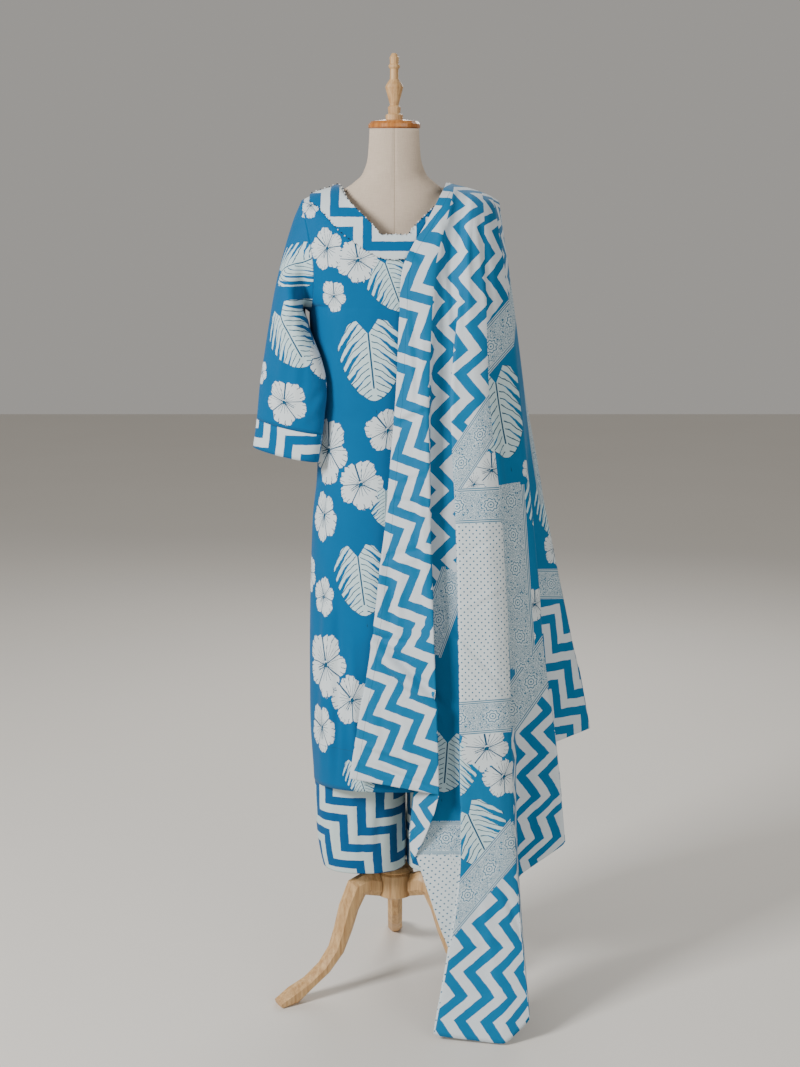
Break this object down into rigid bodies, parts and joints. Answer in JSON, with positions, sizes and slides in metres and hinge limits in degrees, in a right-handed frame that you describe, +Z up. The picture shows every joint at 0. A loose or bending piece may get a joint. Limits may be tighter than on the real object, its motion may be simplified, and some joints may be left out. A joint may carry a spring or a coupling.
{
  "type": "salwar kameez suit on a dress form",
  "caption": "Printed long tunic, straight trousers and a long scarf hung over one shoulder, worn on a padded torso form with a turned finial and a three-legged wooden stand.",
  "frame": {"origin": "middle of the bounding box's footprint, on the floor", "axes": "+Z is up, -Y is the front that the viewer sees, +X is the viewer's right"},
  "size_m": [0.648, 0.553, 1.7991],
  "materials": {
    "print_cotton": "plain woven cotton in blue with large pale flowers and split leaves, matt",
    "chevron_cotton": "plain woven cotton with blue and off-white chevron stripes, matt",
    "scarf_cotton": "thin soft cotton with chevrons, scroll bands, dots and leaves in blue and off-white",
    "waist_cotton": "plain woven cotton, gathered on a tape",
    "linen": "cream linen cover, plain weave, stretched smooth",
    "pine": "light turned wood, satin varnish",
    "cherry": "orange-brown turned wood, glossy varnish"
  },
  "bodies": {
    "root": {"kameez_front": "print_cotton", "kameez_back": "print_cotton", "sleeve_left": "print_cotton", "sleeve_right": "print_cotton", "cuff_band_left": "chevron_cotton", "cuff_band_right": "chevron_cotton", "neck_band": "chevron_cotton", "trouser_leg_left": "chevron_cotton", "trouser_leg_right": "chevron_cotton", "trouser_seat": "chevron_cotton", "trouser_waistband": "waist_cotton", "dupatta_front_pleat": "scarf_cotton", "dupatta_front_fall": "scarf_cotton", "dupatta_side_fall": "scarf_cotton", "dupatta_back_fall": "scarf_cotton", "form_body": "linen", "neck_cap": "cherry", "finial": "pine", "stand_pole": "pine", "stand_hub": "pine", "stand_leg_1": "pine", "stand_leg_2": "pine", "stand_leg_3": "pine"}
  },
  "joints": []
}
